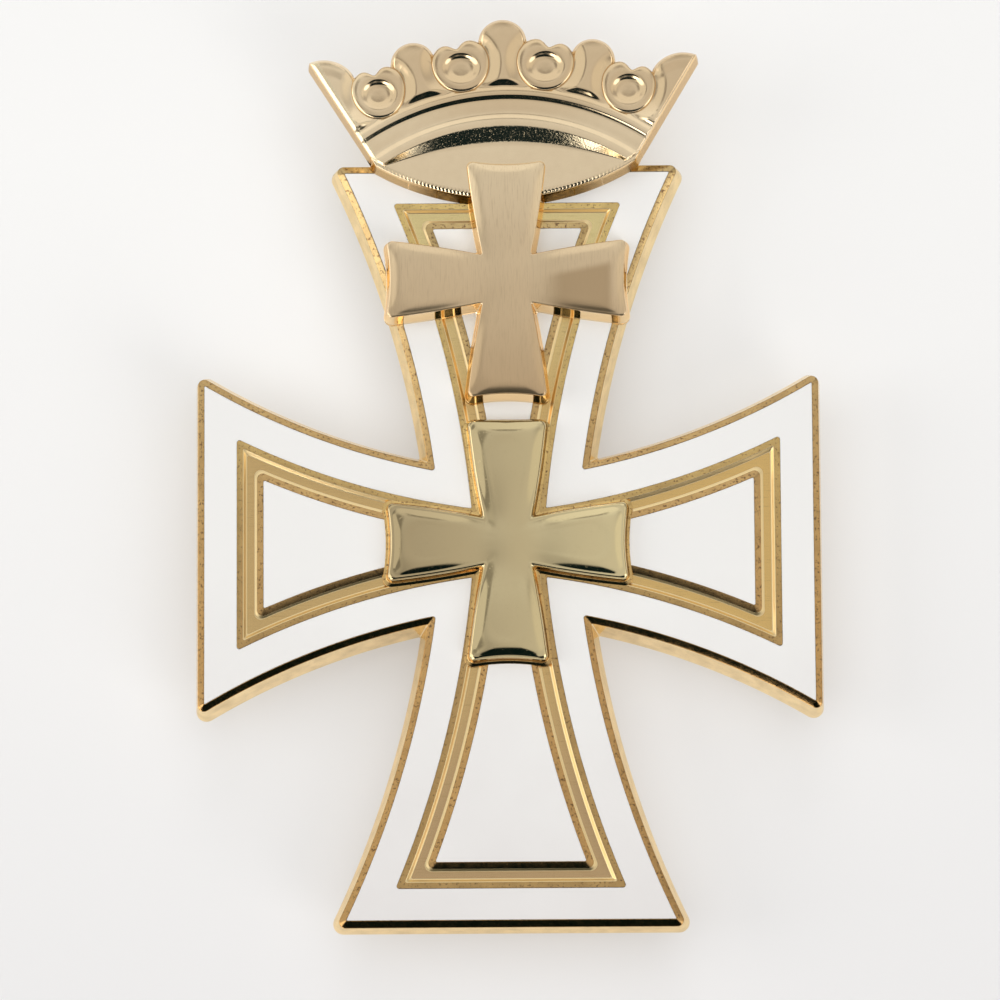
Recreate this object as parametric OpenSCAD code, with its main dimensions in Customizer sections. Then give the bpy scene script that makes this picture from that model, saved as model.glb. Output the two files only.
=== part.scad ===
// Merit cross: a struck breast badge in the form of an enamelled cross with
// curved sides, lying on its back. The front faces +Z, the crown points to +Y,
// and the lowest point of the brooch fitting is at z = 0. Millimetres.

/* [Cross plate] */
// Length of each upright arm, from the middle of the plate to the enamel's edge
upright_len = 27.23; // [26:0.01:28.5]
// Length of each side arm, from the middle of the plate to the enamel's edge
side_arm_len = 21.96; // [21:0.01:23]
// Half width of an upright arm where it leaves the middle
upright_root = 4.80; // [4.5:0.01:5.2]
// Half width of an upright arm at its end
upright_end = 11.82; // [11:0.01:12.5]
// Half width of a side arm where it leaves the middle
side_arm_root = 4.53; // [4.3:0.01:4.9]
// Half width of a side arm at its end
side_arm_end = 11.63; // [11:0.01:12.5]
// Radius of the hollow sides of the upright arms
upright_side_r = 73.4; // [60:0.1:90]
// Radius of the hollow sides of the side arms
side_arm_side_r = 52.2; // [45:0.1:70]
// Thickness of the plate
plate_t = 2.4; // [2:0.1:3]

/* [Rims and cells] */
// Width of the outer rim, seen from the front
rim_w = 0.46; // [0.35:0.01:0.6]
// Flat land on the rim beside the enamel
rim_land = 0.06; // [0.04:0.01:0.15]
// Drop of the rim's sloping face
rim_drop = 0.16; // [0.1:0.01:0.3]
// How far the wall below the rim spreads on the hollow sides
side_flare = 0.47; // [0.2:0.01:0.6]
// How far the wall below the rim spreads on the arm ends
end_flare = 0.18; // [0.1:0.01:0.4]
// Width of the outer enamel band
band_w = 2.31; // [2:0.01:2.6]
// Width of the gilt channel along the sides, with its two rims
channel_w = 1.94; // [1.7:0.01:2.2]
// Width of the gilt channel at the arm ends
channel_end_w = 1.88; // [1.7:0.01:2.2]
// Width of each of the channel's two rims
channel_rim_w = 0.48; // [0.35:0.01:0.6]
// Depth of the channel's brushed floor
channel_d = 0.32; // [0.2:0.01:0.5]
// Thickness of the enamel
enamel_t = 0.7; // [0.5:0.05:1]

/* [Small crosses] */
// Half span of a small cross, to the corners of its arms
small_span = 8.72; // [8:0.01:9.2]
// Half width of an arm at its end
small_end = 2.86; // [2.5:0.01:3.2]
// Half width of an arm at the crotch
small_root = 1.78; // [1.5:0.01:2.1]
// How far the arm ends are hollowed
small_hollow = 0.28; // [0:0.01:0.4]
// How far the sides of the arms swell outwards
small_swell = 0.09; // [0.03:0.01:0.15]
// Width of the soft shoulder round the face
small_shoulder = 0.75; // [0.5:0.01:0.9]
// Rise of the face above the edge
small_rise = 0.34; // [0.2:0.01:0.5]
// How far the walls spread towards the back
small_flare = 0.3; // [0.1:0.01:0.4]
// Height of the centre cross's wall
centre_wall = 0.85; // [0.6:0.01:1.2]
// Height of the upper cross's wall, above the plate
upper_wall = 1.85; // [1.7:0.01:2.2]
// Place of the upper cross along the upright arm
upper_cross_y = 19.04; // [18:0.01:19.5]

/* [Crown] */
// Height of the crown's top above the middle of the plate
crown_top = 38.04; // [37.5:0.01:38.5]
// Lowest point of the crown's curved foot
crown_foot = 24.6; // [24.3:0.01:25]
// Radius of the curved foot
crown_foot_r = 16.4; // [15:0.1:18]
// Thickness of the crown's flat foot panel
crown_panel_t = 1.4; // [1.2:0.05:1.6]
// Thickness of the crown above the panel
crown_t = 1.85; // [1.7:0.05:2]
// Height of the raised rings, lobes and band
crown_relief_t = 2.3; // [2.1:0.05:2.4]
// How far the crown sits turned by hand, in degrees
crown_turn = 0.9; // [-1.5:0.1:1.5]

/* [Brooch fitting] */
// Width of the strip on the back
strip_w = 6.4; // [5:0.1:7]
// Thickness of the strip
strip_t = 0.7; // [0.5:0.05:1]
// Height of the fitting behind the plate
fitting_h = 3.2; // [2.8:0.1:3.6]
// Diameter of the pin
pin_d = 1.1; // [0.9:0.05:1.3]

/* [Hidden] */

$fn = 360;
// Clearance that is left between pieces
gap = 0.02;
// Extra length of a cutting shape beyond the faces it cuts
over = 0.5;
// Half width of the blank that an arm is cut from
arm_blank_w = 16;
// Inset of the inner cell from the enamel's outer edge
cell_side = band_w + channel_w;
cell_end = band_w + channel_end_w;
pocket_d = enamel_t + gap;

// Height of the plate's front face
front_z = fitting_h + plate_t;
// The model's origin is midway between the lowest arm end and the crown's top
plate_reach = upright_len + rim_w + end_flare;
crown_hub = [0, 25];
crown_reach = crown_hub[1] + (crown_top - crown_hub[1]) * cos(crown_turn);
mid_y = (crown_reach - plate_reach) / 2;

// Centre of an arm's side arc, as [across, along], from its two ends
function side_centre(root, end, len, r) =
    let(chord = [end - root, len], half = norm(chord) / 2, u = chord / (2 * half),
        d = sqrt(r * r - half * half))
    [(root + end) / 2 + u[1] * d, len / 2 - u[0] * d];

// An arm is [length, centre of its side arc, radius of its side arc]
upright = [upright_len, side_centre(upright_root, upright_end, upright_len, upright_side_r), upright_side_r];
side_arm = [side_arm_len, side_centre(side_arm_root, side_arm_end, side_arm_len, side_arm_side_r), side_arm_side_r];

// Moves a shape drawn about the middle of the plate's front to the model's frame
module on_plate() {
    translate([0, -mid_y, front_z]) children();
}

// One arm's outline along +Y, inset from the enamel's outer edge
module arm_2d(arm, side_inset, end_inset) {
    difference() {
        translate([-arm_blank_w, -1]) square([2 * arm_blank_w, arm[0] - end_inset + 1]);
        for (side = [-1, 1])
            translate([side * arm[1][0], arm[1][1]]) circle(r = arm[2] + side_inset);
    }
}

// The whole cross's outline, inset from the enamel's outer edge
module cross_2d(side_inset, end_inset) {
    for (turn = [0, 180]) rotate(turn) arm_2d(upright, side_inset, end_inset);
    for (turn = [90, 270]) rotate(turn) arm_2d(side_arm, side_inset, end_inset);
}

// One arm of the plate with its sloping rim and spreading wall
module arm_blank(arm) {
    wall_h = plate_t - rim_drop;
    rim_slope = (rim_w - rim_land) / rim_drop;
    r_rim = arm[2] - rim_w;
    end_profile = [[-1, -plate_t], [arm[0] + rim_w + end_flare, -plate_t], [arm[0] + rim_w, -rim_drop],
        [arm[0] + rim_land, 0], [-1, 0]];
    side_profile = [[0, -plate_t - over], [r_rim - side_flare * (1 + over / wall_h), -plate_t - over],
        [r_rim, -rim_drop], [r_rim + rim_slope * (rim_drop + over), over], [0, over]];
    difference() {
        translate([-arm_blank_w, 0, 0]) rotate([90, 0, 90])
            linear_extrude(2 * arm_blank_w) polygon(end_profile);
        for (side = [-1, 1])
            translate([side * arm[1][0], arm[1][1], 0]) rotate_extrude() polygon(side_profile);
    }
}

module base_cross() {
    color([0.83, 0.66, 0.35]) on_plate() difference() {
        union() {
            for (turn = [0, 180]) rotate(turn) arm_blank(upright);
            for (turn = [90, 270]) rotate(turn) arm_blank(side_arm);
        }
        // Pocket of the outer enamel band
        translate([0, 0, -pocket_d]) linear_extrude(pocket_d + over) difference() {
            cross_2d(0, 0);
            cross_2d(band_w, band_w);
        }
        // Sunk channel between its two rims
        translate([0, 0, -channel_d]) linear_extrude(channel_d + over) difference() {
            cross_2d(band_w + channel_rim_w, band_w + channel_rim_w);
            cross_2d(cell_side - channel_rim_w, cell_end - channel_rim_w);
        }
        // Pocket of the inner enamel
        translate([0, 0, -pocket_d]) linear_extrude(pocket_d + over) cross_2d(cell_side, cell_end);
    }
}

module outer_enamel() {
    color([0.96, 0.96, 0.95]) on_plate() translate([0, 0, -enamel_t]) linear_extrude(enamel_t) difference() {
        cross_2d(gap, gap);
        cross_2d(band_w - gap, band_w - gap);
    }
}

module inner_enamel() {
    color([0.96, 0.96, 0.95]) on_plate() translate([0, 0, -enamel_t]) linear_extrude(enamel_t)
        cross_2d(cell_side + gap, cell_end + gap);
}

// Steps along an arm's side and across its hollow end
side_steps = 4;
end_steps = 8;
small_slope = (small_end - small_root) / (small_span - small_root);

// Outline of a small cross's arm along +Y, inset by d, from its right crotch round to its left one
function small_arm(d) =
    let(span = small_span - d, root = small_root - d * norm([1, small_slope]) / (1 - small_slope),
        end = root + small_slope * (span - root),
        side = [for (i = [0 : side_steps - 1]) let(t = i / side_steps)
            [root + (end - root) * t + 4 * small_swell * t * (1 - t), root + (span - root) * t]])
    concat(
        side,
        [for (i = [0 : end_steps]) let(s = 1 - 2 * i / end_steps) [end * s, span - small_hollow * (1 - s * s)]],
        [for (i = [side_steps - 1 : -1 : 1]) [-side[i][0], side[i][1]]]);

function turned(p, a) = [p[0] * cos(a) - p[1] * sin(a), p[0] * sin(a) + p[1] * cos(a)];

// One level of a small cross: its inset outline at height z
function small_ring(level) =
    [for (a = [0 : 90 : 270]) for (p = small_arm(level[0])) let(q = turned(p, a)) [q[0], q[1], level[1]]];

// A small cross from z = 0: spreading wall, rounded shoulder and flat face
module small_cross(wall) {
    // Each level is [inset, height]
    levels = concat([[-small_flare, 0], [0, wall]],
        [for (a = [30, 60, 90]) [small_shoulder * (1 - cos(a)), wall + small_rise * sin(a)]]);
    n = len(small_ring(levels[0]));
    top = len(levels) - 1;
    polyhedron(
        points = [for (level = levels) each small_ring(level)],
        faces = concat(
            [[for (i = [0 : n - 1]) i]],
            [[for (i = [n - 1 : -1 : 0]) top * n + i]],
            [for (k = [0 : top - 1]) for (i = [0 : n - 1]) let(j = (i + 1) % n)
                [k * n + i, (k + 1) * n + i, (k + 1) * n + j, k * n + j]]),
        convexity = 6);
}

module centre_cross() {
    color([0.75, 0.7, 0.52]) on_plate() translate([0, 0, gap]) small_cross(centre_wall);
}

module upper_cross() {
    color([0.77, 0.67, 0.5]) on_plate() difference() {
        translate([0, upper_cross_y, gap]) small_cross(upper_wall);
        // Room for the crown's foot panel under the top arm
        crown_place() translate([0, 0, -over]) linear_extrude(crown_panel_t + gap + over)
            crown_foot_2d(gap);
    }
}

// Turns what is drawn upright about the crown's foot, a gap above the plate
module crown_place() {
    translate([0, crown_hub[1], gap]) rotate(crown_turn) translate([0, -crown_hub[1], 0]) children();
}

// Discs and lobes along the crown's top, each as [x, y, radius]
disc_r = 1.85;
inner_disc = [3.14, 34.78, disc_r];
outer_disc = [9.08, 32.85, disc_r];
mid_lobe = [0, crown_top - 1.62, 1.62];
side_lobe = [6.5, crown_top - 3.1, 1.5];
// Tip of the end leaf and its other points down to the disc
leaf = [[13.98, 35.16], [13.5, 35.4], [12.6, 35.38], [11.7, 35.1], [10.7, 34.35], [9.5, 31.5]];
// Corner where the straight side meets the foot
foot_corner = [9.15, 27.3];
// Centre and radii of the circlet's arcs
circlet_y = 14;
circlet_r = 18.4;
circlet_w = 0.6;
body_r = 21.6;
// Point above the lobes, where the blank of the crown's body ends
body_peak = [6, crown_top];
// Arc where the foot panel ends and the crown rises
panel_edge_y = 10.05;
panel_edge_r = 19.7;

// Lower part of the crown, between its straight sides and above its curved foot
module crown_foot_2d(grow) {
    intersection() {
        translate([0, crown_foot + crown_foot_r]) circle(r = crown_foot_r + grow);
        translate([-foot_corner[0] - grow, crown_foot - over])
            square([2 * (foot_corner[0] + grow), circlet_y + circlet_r - crown_foot]);
    }
}

module crown_2d() {
    crown_foot_2d(0);
    intersection() {
        translate([0, circlet_y]) circle(r = body_r);
        polygon([for (side = [-1, 1]) each [for (p = side < 0 ? [body_peak, leaf[0], foot_corner] :
            [foot_corner, leaf[0], body_peak]) [side * p[0], p[1]]]]);
    }
    for (side = [0, 1]) mirror([side, 0]) {
        polygon(concat(leaf, [foot_corner]));
        for (round_part = [inner_disc, outer_disc, side_lobe])
            translate([round_part[0], round_part[1]]) circle(r = round_part[2]);
    }
    translate([mid_lobe[0], mid_lobe[1]]) circle(r = mid_lobe[2]);
}

// Ring with a rounded edge and a dished middle
module dished_disc(disc) {
    h = crown_relief_t;
    translate([disc[0], disc[1], 0]) rotate_extrude()
        polygon([[0, 0], [disc[2], 0], [disc[2], h - 0.45], [disc[2] - 0.2, h - 0.12], [disc[2] - 0.5, h],
            [disc[2] - 0.8, h - 0.12], [disc[2] - 1.1, h - 0.4], [0.3, h - 0.6], [0, h - 0.6]]);
}

// Lobe with a domed face
module domed_lobe(lobe) {
    h = crown_relief_t;
    translate([lobe[0], lobe[1], 0]) rotate_extrude()
        polygon([[0, 0], [lobe[2], 0], [lobe[2], h - 0.6], [lobe[2] - 0.3, h - 0.25], [lobe[2] - 0.8, h], [0, h]]);
}

module crown() {
    color([0.83, 0.74, 0.56]) on_plate() crown_place() {
        linear_extrude(crown_panel_t) crown_2d();
        linear_extrude(crown_t) difference() {
            crown_2d();
            translate([0, panel_edge_y]) circle(r = panel_edge_r);
        }
        linear_extrude(crown_relief_t) intersection() {
            crown_2d();
            difference() {
                translate([0, circlet_y]) circle(r = circlet_r + circlet_w);
                translate([0, circlet_y]) circle(r = circlet_r);
                translate([0, panel_edge_y]) circle(r = panel_edge_r);
            }
        }
        for (side = [0, 1]) mirror([side, 0, 0]) {
            dished_disc(inner_disc);
            dished_disc(outer_disc);
            domed_lobe(side_lobe);
        }
        domed_lobe(mid_lobe);
    }
}

// Ends of the brooch fitting along the plate, and the length of its two blocks
hinge_y = 19;
catch_y = -13;
block_l = 4;

module brooch_pin() {
    pin_z = strip_t + (fitting_h - strip_t) * 0.55;
    color([0.82, 0.66, 0.38]) translate([0, -mid_y, fitting_h - gap]) mirror([0, 0, 1]) {
        // Strip that lies on the back of the plate
        translate([-strip_w / 2, catch_y, 0]) cube([strip_w, hinge_y - catch_y, strip_t]);
        for (end_y = [catch_y, hinge_y]) translate([0, end_y, 0]) cylinder(d = strip_w, h = strip_t);
        // Hinge block and catch block, whose faces are the feet that the badge lies on
        for (block_y = [catch_y, hinge_y - block_l])
            translate([-strip_w / 2, block_y, 0]) cube([strip_w, block_l, fitting_h - gap]);
        // Pin between the two blocks
        translate([0, catch_y, pin_z]) rotate([-90, 0, 0]) cylinder(d = pin_d, h = hinge_y - catch_y);
    }
}

base_cross();
outer_enamel();
inner_enamel();
centre_cross();
upper_cross();
crown();
brooch_pin();
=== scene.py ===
"""A gilt and enamelled merit cross with its crown, lying on its back on a pale table."""
import math

import bpy
import numpy as np
from mathutils import Matrix, Vector


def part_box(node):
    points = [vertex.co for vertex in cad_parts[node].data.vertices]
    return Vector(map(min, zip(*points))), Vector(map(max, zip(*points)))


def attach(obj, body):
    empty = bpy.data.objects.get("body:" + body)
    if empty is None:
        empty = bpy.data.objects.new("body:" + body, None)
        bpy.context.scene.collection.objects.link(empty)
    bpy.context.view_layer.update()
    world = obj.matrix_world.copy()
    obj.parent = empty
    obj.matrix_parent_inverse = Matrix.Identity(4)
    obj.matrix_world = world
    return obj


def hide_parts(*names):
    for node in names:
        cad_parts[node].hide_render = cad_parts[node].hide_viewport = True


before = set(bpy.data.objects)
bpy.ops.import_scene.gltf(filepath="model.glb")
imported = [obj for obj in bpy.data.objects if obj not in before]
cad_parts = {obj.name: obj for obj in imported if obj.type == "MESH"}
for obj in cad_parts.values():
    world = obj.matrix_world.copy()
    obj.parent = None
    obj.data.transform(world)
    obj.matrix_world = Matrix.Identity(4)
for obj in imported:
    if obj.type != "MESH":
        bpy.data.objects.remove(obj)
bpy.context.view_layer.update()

# The camera. It stands in front of the badge, tipped 9 degrees down the lower arm,
# and turned a little in its mount. All lengths below are in millimetres, and points
# are told from the middle of the plate's front face.
MM = 0.001
PHOTO_PX = 1000
FOCAL_PX = 6597
SENSOR_MM = 36
camera_far = 475
camera_tilt = math.radians(9)
camera_roll = 0.0064
# Where the plate's middle lies in the picture, from its left and its top
middle_px = (509.04, 542.63)

plate_low, plate_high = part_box("base_cross")
middle = np.array([0, (plate_low.y + plate_high.y) / 2, plate_high.z]) / MM

tilted_up = Vector((0, math.cos(camera_tilt), math.sin(camera_tilt)))
ahead = Vector((0, math.sin(camera_tilt), -math.cos(camera_tilt)))
right = Vector((1, 0, 0)) * math.cos(camera_roll) - tilted_up * math.sin(camera_roll)
up = Vector((1, 0, 0)) * math.sin(camera_roll) + tilted_up * math.cos(camera_roll)
aim = (ahead - right * ((middle_px[0] - PHOTO_PX / 2) / FOCAL_PX)
       + up * ((middle_px[1] - PHOTO_PX / 2) / FOCAL_PX)).normalized()
up = (up - aim * up.dot(aim)).normalized()
turned = Matrix((aim.cross(up), up, -aim)).transposed().to_4x4()
camera = bpy.data.objects.new("camera", bpy.data.cameras.new("camera"))
camera.data.sensor_width = SENSOR_MM
camera.data.lens = SENSOR_MM * FOCAL_PX / PHOTO_PX
camera.data.clip_start, camera.data.clip_end = 0.01, 10
camera.matrix_world = Matrix.Translation((Vector(middle) - ahead * camera_far) * MM) @ turned
bpy.context.scene.collection.objects.link(camera)
bpy.context.scene.camera = camera
bpy.context.scene.view_settings.view_transform = "Standard"


# The table. A smooth pale sheet of opal plastic that glows a little by itself, a painted glow
# that keeps the badge's shadow on it light.
table_half = 600
table_steps = 13
# Painted shade: it is a little darker at the foot's end than at the crown's
table_colour, table_shaded_foot_colour = (0.60, 0.60, 0.595, 1), (0.50, 0.495, 0.50, 1)
table_shade_fade = (-42, 25)
table_glow = 0.32


def new_finish(name, **sockets):
    """A material whose Principled shader has these sockets set, with _ for a space in their names."""
    material = bpy.data.materials.new(name)
    material.use_nodes = True
    shader = material.node_tree.nodes["Principled BSDF"]
    for socket, value in sockets.items():
        shader.inputs[socket.replace("_", " ")].default_value = value
    return material


def add_node(tree, kind, inputs, **settings):
    """A shader node of a kind, with its settings, and each input set to a value or fed by a socket."""
    node = tree.nodes.new("ShaderNode" + kind)
    for setting, value in settings.items():
        setattr(node, setting, value)
    for key, value in inputs.items():
        if isinstance(value, bpy.types.NodeSocket):
            tree.links.new(value, node.inputs[key])
        else:
            node.inputs[key].default_value = value
    return node


def feed(tree, socket, source):
    """Feeds a Principled socket of the material from another node's socket."""
    tree.links.new(source, tree.nodes["Principled BSDF"].inputs[socket])


def object_point(tree, scale, turn=0.0):
    """The point on the piece in millimetres, stretched by scale and turned about the vertical."""
    where = add_node(tree, "TexCoord", {}).outputs["Object"]
    return add_node(tree, "Mapping", {"Vector": where, "Scale": [s / MM for s in scale],
                                      "Rotation": (0, 0, turn)}).outputs[0]


def coordinates(tree):
    """The point on the piece in millimetres, as sockets named X, Y and Z."""
    return add_node(tree, "SeparateXYZ", {0: object_point(tree, (1, 1, 1))}).outputs


def noise(tree, scale, detail=3.0, roughness=0.5, turn=0.0):
    """Cloudy noise from 0 to 1, with scale cycles to the millimetre along each axis."""
    return add_node(tree, "TexNoise", {"Vector": object_point(tree, scale, turn), "Scale": 1.0,
                                       "Detail": detail, "Roughness": roughness}).outputs[0]


def remap(tree, value, low, high, to_low=0.0, to_high=1.0):
    """A value brought from between low and high to between to_low and to_high, and held there."""
    return add_node(tree, "MapRange", {"Value": value, "From Min": low, "From Max": high,
                                       "To Min": to_low, "To Max": to_high}).outputs[0]


def blend(tree, share, first, second):
    """The first colour at share 0 and the second at share 1."""
    return add_node(tree, "Mix", {"Factor": share, "A": first, "B": second},
                    data_type="RGBA").outputs["Result"]


def emboss(tree, height, strength, depth, **settings):
    """Tilts the surface's shading as if a height from 0 to 1 stood up by depth millimetres, times
    strength."""
    bump = add_node(tree, "Bump", {"Height": height, "Strength": strength, "Distance": depth * MM},
                    **settings)
    feed(tree, "Normal", bump.outputs[0])


def new_piece(name, points, faces, finishes, finish_of=None, about=middle):
    """A smooth mesh piece of points told in millimetres from the middle of the plate's face."""
    mesh = bpy.data.meshes.new(name)
    mesh.from_pydata(((np.asarray(points) + about) * MM).tolist(), [], faces)
    for finish in finishes:
        mesh.materials.append(finish)
    if finish_of is not None:
        mesh.polygons.foreach_set("material_index", np.asarray(finish_of, np.int32))
    mesh.polygons.foreach_set("use_smooth", np.ones(len(mesh.polygons), bool))
    mesh.update()
    piece = bpy.data.objects.new(name, mesh)
    bpy.context.scene.collection.objects.link(piece)
    return piece


def grid_faces(rows, columns, closed=False):
    """Four-sided faces of a grid of points told row by row, closed round the columns if asked."""
    row, column = np.meshgrid(np.arange(rows - 1), np.arange(columns if closed else columns - 1),
                              indexing="ij")
    beside = (column + 1) % columns
    corners = (row * columns + column, row * columns + beside,
               (row + 1) * columns + beside, (row + 1) * columns + column)
    return np.stack(corners, -1).reshape(-1, 4).tolist()


# The table's emission is a painted glow: it is no lamp
board = new_finish("table_painted_glow", Roughness=0.5, Emission_Color=(1, 0.985, 0.97, 1),
                   Emission_Strength=table_glow)
tree = board.node_tree
# Painted shade: the table's colour darkens towards the foot's end
towards_crown = remap(tree, coordinates(tree)["Y"], *table_shade_fade)
feed(tree, "Base Color", blend(tree, towards_crown, table_shaded_foot_colour, table_colour))
emboss(tree, noise(tree, (4, 4, 4)), 0.15, 0.02)
edge = np.linspace(-table_half, table_half, table_steps)
across, along = np.meshgrid(edge, edge)
table = new_piece("table", np.stack([across, along, 0 * along], -1).reshape(-1, 3),
                  grid_faces(table_steps, table_steps), [board], about=np.zeros(3))


# The studio. The polished metal mirrors the room: a soft roof that brightens beyond the crown,
# pale walls with a dark gap below them, a black card below the foot of the cross, and lamps
# low at both lower corners. They are laid over each other in order.
roof_colour = (0.50, 0.49, 0.475)
black_card = (0.004, 0.012, 0.014)
# Spots as [direction, degrees where it is full, degrees where it ends, colour]
spots_of_light = [
    # The roof's brighter parts, and the walls to the left, beyond the crown and to the right
    ((0, 1, 2.2), 4, 24, (0.76, 0.76, 0.75)),
    ((0.6, 0, 2.2), 6, 26, (0.70, 0.68, 0.65)),
    ((-1, 0.1, 0.8), 28, 45, (0.86, 0.85, 0.80)),
    ((0, 1, 0.62), 28, 41, (0.92, 0.91, 0.87)),
    ((1, 0, 0.9), 16, 34, (0.82, 0.79, 0.72)),
    # Seams between the roof's panels, which draw thin darker lines in the gold
    ((-1, 0, 2.7), 4, 9, (0.34, 0.33, 0.31)),
    ((-0.7, 0.7, 2.4), 4, 9, (0.36, 0.35, 0.33)),
    ((0, 1, 2.1), 2.5, 7, (0.42, 0.41, 0.39)),
    # Bright panels low at either side
    ((-1, 0.0, 0.12), 12, 22, (2.2, 2.1, 1.95)),
    ((-1, -0.45, 0.72), 12, 22, (2.2, 2.1, 1.95)),
    ((1, -0.5, 0.55), 12, 22, (2.0, 1.95, 1.85)),
    # The black card, then the lamps at the lower corners
    ((0, -1, 0.78), 16, 21, black_card),
    ((0, -1, 1.25), 15, 25, black_card),
    ((0.5, -1, 0.95), 14, 24, black_card),
    ((-0.4, -1, 1.05), 12, 22, black_card),
    ((-0.60, -0.85, 0.40), 11, 17, (3.0, 2.9, 2.7)),
    ((0.66, -0.85, 0.13), 6, 10, (2.4, 2.3, 2.1)),
]
# The dark gap low round the far and right-hand sides, between the walls and the table, as the
# sine of elevation of its middle, and how far from there it is full and ends
gap_height, gap_full, gap_ends = 0.08, 0.08, 0.17
# It fades out towards the near left, over this range of the direction's x + y
gap_side = (-0.35, 0.0)
gap_colour = (0.14, 0.10, 0.06, 1)
world = bpy.data.worlds.new("studio")
bpy.context.scene.world = world
world.use_nodes = True
tree = world.node_tree
towards = add_node(tree, "TexCoord", {}).outputs["Generated"]
light = add_node(tree, "RGB", {}).outputs[0]
light.default_value = (*roof_colour, 1)


def eased_share(tree, value, low, high):
    """0 where the value is below low and 1 above high, with an S-shaped rise between."""
    return add_node(tree, "MapRange", {"Value": value, "From Min": low, "From Max": high},
                    interpolation_type="SMOOTHSTEP").outputs[0]


def maths(tree, operation, first, second):
    """The result of a Math node on two values."""
    return add_node(tree, "Math", {0: first, 1: second}, operation=operation).outputs[0]


for direction, full, ends, colour in spots_of_light:
    aim = Vector(direction).normalized()
    lined_up = add_node(tree, "VectorMath", {0: towards, 1: aim}, operation="DOT_PRODUCT")
    share = eased_share(tree, lined_up.outputs["Value"], math.cos(math.radians(ends)),
                        math.cos(math.radians(full)))
    light = blend(tree, share, light, (*colour, 1))
parts = add_node(tree, "SeparateXYZ", {0: towards}).outputs
off_middle = maths(tree, "ABSOLUTE", maths(tree, "SUBTRACT", parts["Z"], gap_height), 0)
in_gap = maths(tree, "SUBTRACT", 1, eased_share(tree, off_middle, gap_full, gap_ends))
far_side = eased_share(tree, maths(tree, "ADD", parts["Y"], parts["X"]), *gap_side)
light = blend(tree, maths(tree, "MULTIPLY", in_gap, far_side), light, gap_colour)
tree.links.new(light, tree.nodes["Background"].inputs["Color"])


def add_lamp(name, place, size, watts, colour):
    """A square soft lamp at a place in millimetres, facing the badge, that the metal doesn't mirror."""
    lamp = bpy.data.objects.new(name, bpy.data.lights.new(name, "AREA"))
    lamp.data.shape, lamp.data.size = "SQUARE", size * MM
    lamp.data.energy, lamp.data.color = watts, colour
    away = (Vector(place) - Vector(middle)).normalized()
    facing = away.to_track_quat("Z", "Y").to_matrix().to_4x4()
    lamp.matrix_world = Matrix.Translation(Vector(place) * MM) @ facing
    lamp.visible_glossy = False
    bpy.context.scene.collection.objects.link(lamp)


# The walls light nothing but metal: the table and the enamel are lit by the lamps alone
world.cycles_visibility.diffuse = False
lamp_white = (1, 0.995, 0.985)
add_lamp("roof_lamp", (0, 0, 900), 1500, 8.6, lamp_white)
add_lamp("left_lamp", (-450, 0, 220), 300, 0.92, lamp_white)
add_lamp("crown_lamp", (0, 500, 300), 300, 0.67, lamp_white)
add_lamp("right_lamp", (350, -350, 300), 300, 1.20, (1, 0.99, 0.985))


# The cross plate. A struck brass plate, gilded: its curved sides run out to flat arm ends,
# a sloping rim goes all round, and a brushed channel between two thin rims parts the two
# cells that hold the enamel.
upright_len, side_arm_len = 27.23, 21.955
# The sides' arcs as (centre, radius). The ends are arcs about centres so far off that they
# look straight.
upright_side = ((78.11, -4.35), 73.44)
side_arm_side = ((-4.69, 56.53), 52.21)
far_off = 20000
plate_t = 2.4
pocket_d = 0.72
channel_d = 0.22
# Insets of the side, the side arm's end and the upright's, where the outer cell ends and
# where the inner one begins
outer_cell_end, inner_cell_start = (2.31, 2.36, 2.27), (4.25, 4.26, 4.15)
# Each row of the profile is [the three insets, height, corner radius, crotch radius, ease of
# the edge].
plate_profile = [
    (-0.92, -0.64, -0.74, -plate_t, 0.75, 0.10, 0.0),
    (-0.95, -0.66, -0.76, -plate_t + 0.03, 0.75, 0.10, 0.03),
    (-0.47, -0.47, -0.53, -0.24, 0.46, 0.10, 0.05),
    (-0.03, -0.03, -0.03, -0.01, 0.08, 0.18, 0.03),
    (0.0, 0.0, 0.0, -0.02, 0.05, 0.20, 0.01),
    (0.0, 0.0, 0.0, -pocket_d, 0.05, 0.20, 0.0),
    (*outer_cell_end, -pocket_d, 0.20, 0.08, 0.0),
    (*outer_cell_end, 0.0, 0.20, 0.08, 0.03),
    (2.79, 2.84, 2.75, 0.0, 0.10, 0.12, 0.05),
    (2.97, 3.02, 2.93, -channel_d, 0.06, 0.16, 0.07),
    (3.62, 3.64, 3.53, -channel_d, 0.50, 0.10, 0.04),
    (3.74, 3.76, 3.65, -0.16, 0.45, 0.10, 0.04),
    (4.235, 4.245, 4.135, -0.005, 0.10, 0.10, 0.01),
    (*inner_cell_start, -0.02, 0.10, 0.10, 0.0),
    (*inner_cell_start, -pocket_d, 0.10, 0.10, 0.0),
]


def circles_meet(centre_a, radius_a, centre_b, radius_b, near):
    """Where two circles cross, of the two points the one nearer to a given point. For radii a
    and b at distance d it lies (a^2 - b^2 + d^2) / 2d along the line of the centres, and off
    that line by the root of a^2 less the square of that length."""
    between = centre_b - centre_a
    apart = np.hypot(*between)
    along = (radius_a**2 - radius_b**2 + apart**2) / (2 * apart)
    side = np.array([-between[1], between[0]]) * math.sqrt(max(radius_a**2 - along**2, 0)) / apart
    foot = centre_a + between * along / apart
    return min(foot + side, foot - side, key=lambda p: np.hypot(*(p - near)))


def arc(centre, start, stop, count):
    """Points on the circle about a centre from start to stop, the short way, without the last:
    the centre plus the radius times the cosine and the sine of evenly spaced angles."""
    first, last = (math.atan2(*(p - centre)[::-1]) for p in (start, stop))
    turn = (last - first + math.pi) % (2 * math.pi) - math.pi
    angle = first + turn * np.arange(count) / count
    return centre + np.hypot(*(start - centre)) * np.column_stack([np.cos(angle), np.sin(angle)])


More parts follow.
